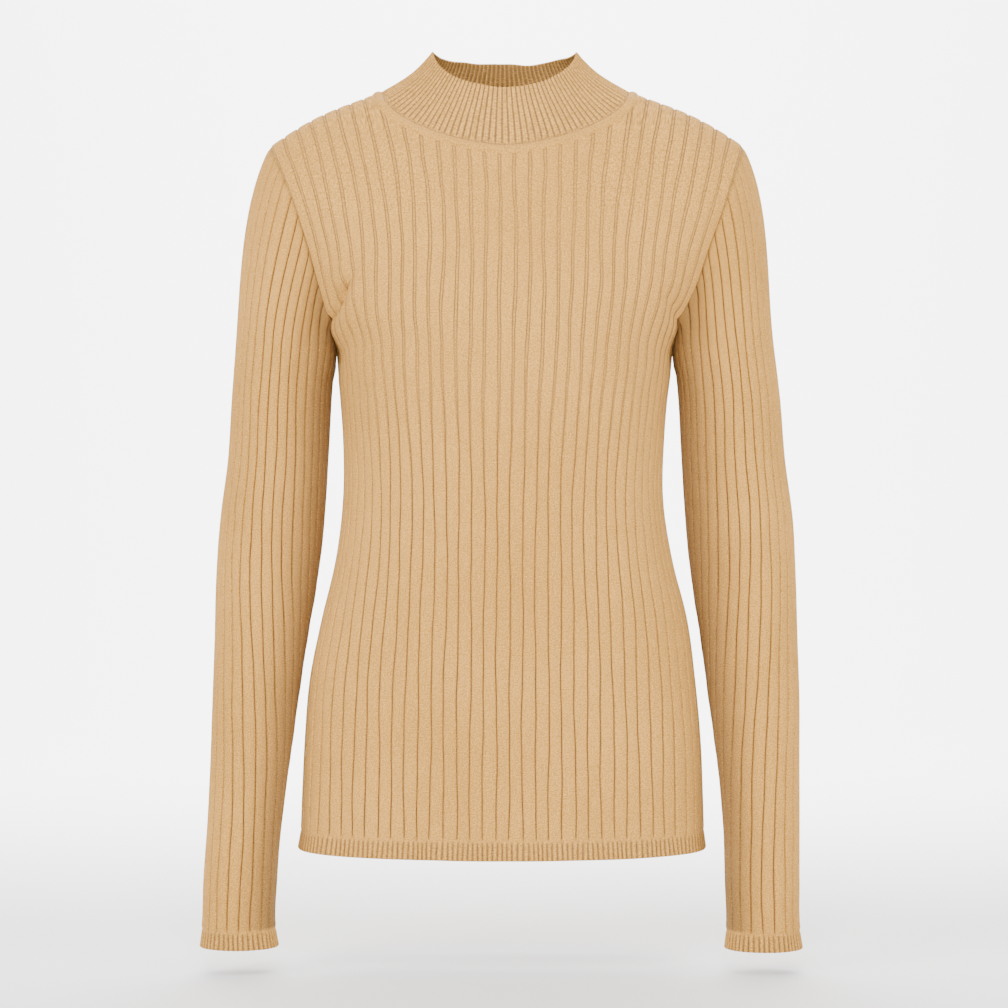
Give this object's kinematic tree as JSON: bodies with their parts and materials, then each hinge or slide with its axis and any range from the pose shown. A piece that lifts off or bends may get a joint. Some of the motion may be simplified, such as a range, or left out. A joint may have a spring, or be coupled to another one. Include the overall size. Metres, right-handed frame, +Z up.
{
  "type": "mock neck sweater",
  "caption": "Tan mock neck sweater in wide flat ribs, with long set-in sleeves and finely ribbed collar, cuffs and hem, filled out hollow with no wearer.",
  "frame": {"origin": "middle of the neck, level with the points where neck and shoulders meet, where the wearer holds the garment up", "axes": "front faces -Y, +Z is up, +X is the side of the wearer's left arm"},
  "size_m": [0.4861, 0.1909, 0.7292],
  "materials": {
    "front_knit": "matt knit",
    "back_knit": "matt knit",
    "sleeve_knit": "matt knit",
    "collar_knit": "matt knit"
  },
  "bodies": {
    "root": {"front": "front_knit", "back": "back_knit", "sleeve_left": "sleeve_knit", "sleeve_right": "sleeve_knit", "collar": "collar_knit"}
  },
  "joints": []
}
